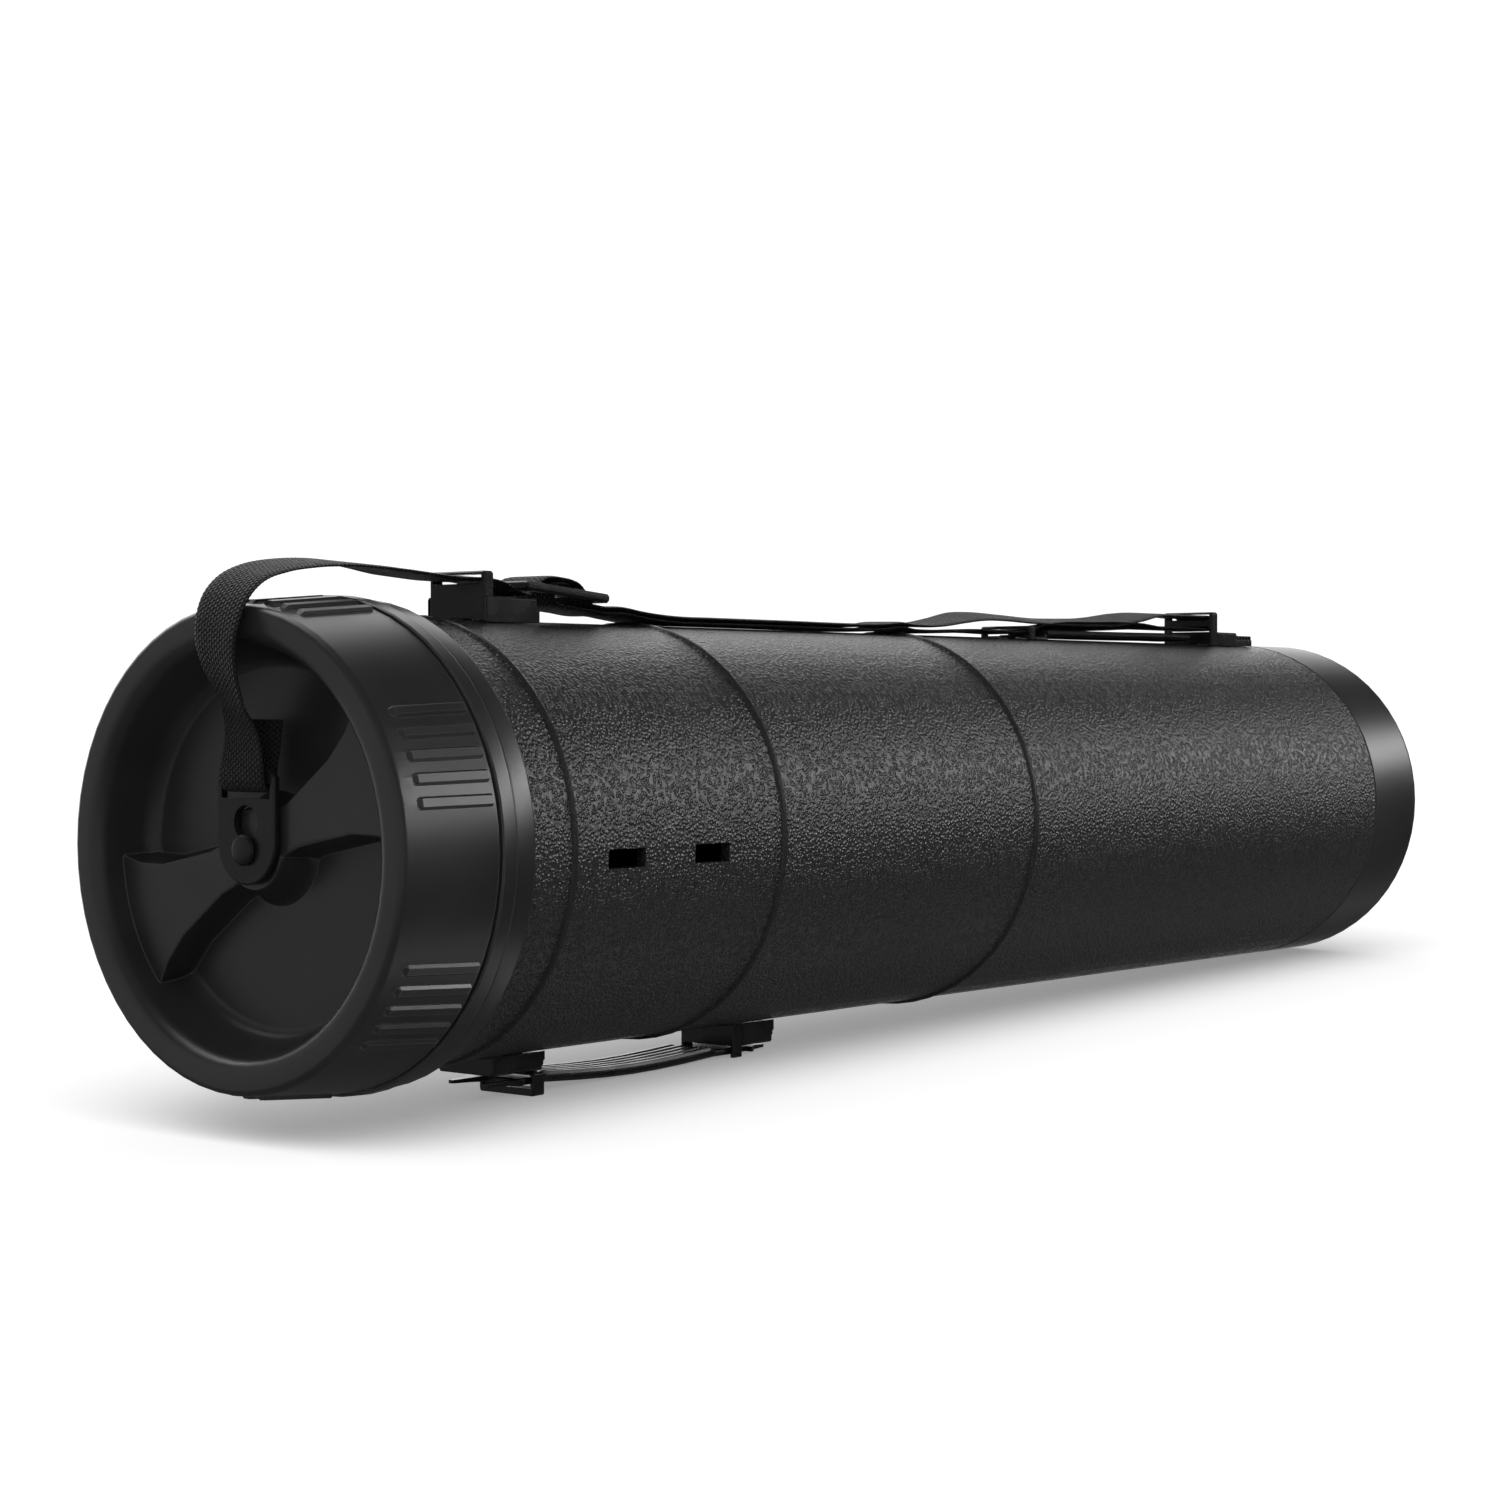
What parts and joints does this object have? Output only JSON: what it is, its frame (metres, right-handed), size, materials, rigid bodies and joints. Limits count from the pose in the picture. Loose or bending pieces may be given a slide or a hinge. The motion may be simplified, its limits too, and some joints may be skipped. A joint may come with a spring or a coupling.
{
  "type": "drawing tube",
  "caption": "Rigid carrying tube for rolled drawings, with a screw cap, an adjustable webbing shoulder strap on top and a flexible band handle underneath.",
  "frame": {"origin": "centre of the flat outer face of the closed far end", "axes": "+X along the tube's axis, out of the closed far end, so the screw cap is at -X; +Z from the axis towards the shoulder strap; the handle is at -Z"},
  "size_m": [0.6469, 0.1524, 0.1718],
  "materials": {
    "grained_shell": "black moulded plastic with a fine leather grain",
    "satin_shell": "smooth satin black plastic",
    "gloss_fittings": "smooth semi-gloss black plastic",
    "handle_band": "semi-gloss flexible black plastic",
    "webbing": "black woven polypropylene webbing",
    "gasket": "matt black foam rubber"
  },
  "bodies": {
    "tube": {"tube_body": "grained_shell", "neck_collar": "satin_shell", "end_cap": "satin_shell", "strap_bracket_front": "gloss_fittings", "strap_bracket_front_lock": "gloss_fittings", "strap_bracket_middle": "gloss_fittings", "strap_bracket_middle_lock": "gloss_fittings", "strap_bracket_rear": "gloss_fittings", "strap_bracket_rear_lock": "gloss_fittings", "handle_bracket_front": "gloss_fittings", "handle_bracket_front_lock": "gloss_fittings", "handle_bracket_rear": "gloss_fittings", "handle_bracket_rear_lock": "gloss_fittings", "strap_front": "webbing", "strap_to_slider": "webbing", "strap_from_slider": "webbing", "strap_end_link": "webbing", "strap_back": "webbing", "strap_tail": "webbing"},
    "tab": {"keyhole_tab": "gloss_fittings"},
    "cap": {"cap_shell": "satin_shell", "cap_gasket": "gasket", "lid_stud": "gloss_fittings"},
    "slider": {"strap_slider": "gloss_fittings", "strap_in_slider": "webbing", "strap_end_loop": "webbing"},
    "handle": {"handle_band": "handle_band"}
  },
  "joints": [
    {"name": "cap_lift", "type": "slide", "parent": "tube", "child": "tab", "axis": [-1, 0, 0], "range_m": [0, 0.0201], "deforming": ["strap_front"]},
    {"name": "cap_turn", "type": "hinge", "parent": "tab", "child": "cap", "pos_m": [-0.6, 0, 0], "axis": [-1, 0, 0], "range_deg": [0, 900]},
    {"name": "slider_slide", "type": "slide", "parent": "tube", "child": "slider", "axis": [0.9966, 0, -0.0819], "range_m": [-0.004, 0.012], "deforming": ["strap_to_slider", "strap_from_slider", "strap_end_link"]},
    {"name": "handle_slide", "type": "slide", "parent": "tube", "child": "handle", "axis": [1, 0, 0], "range_m": [-0.0038, 0.0038]}
  ],
  "couplings": [
    {"joint": "cap_lift", "follows": "cap_turn", "m_per_rad": 0.0012732}
  ]
}
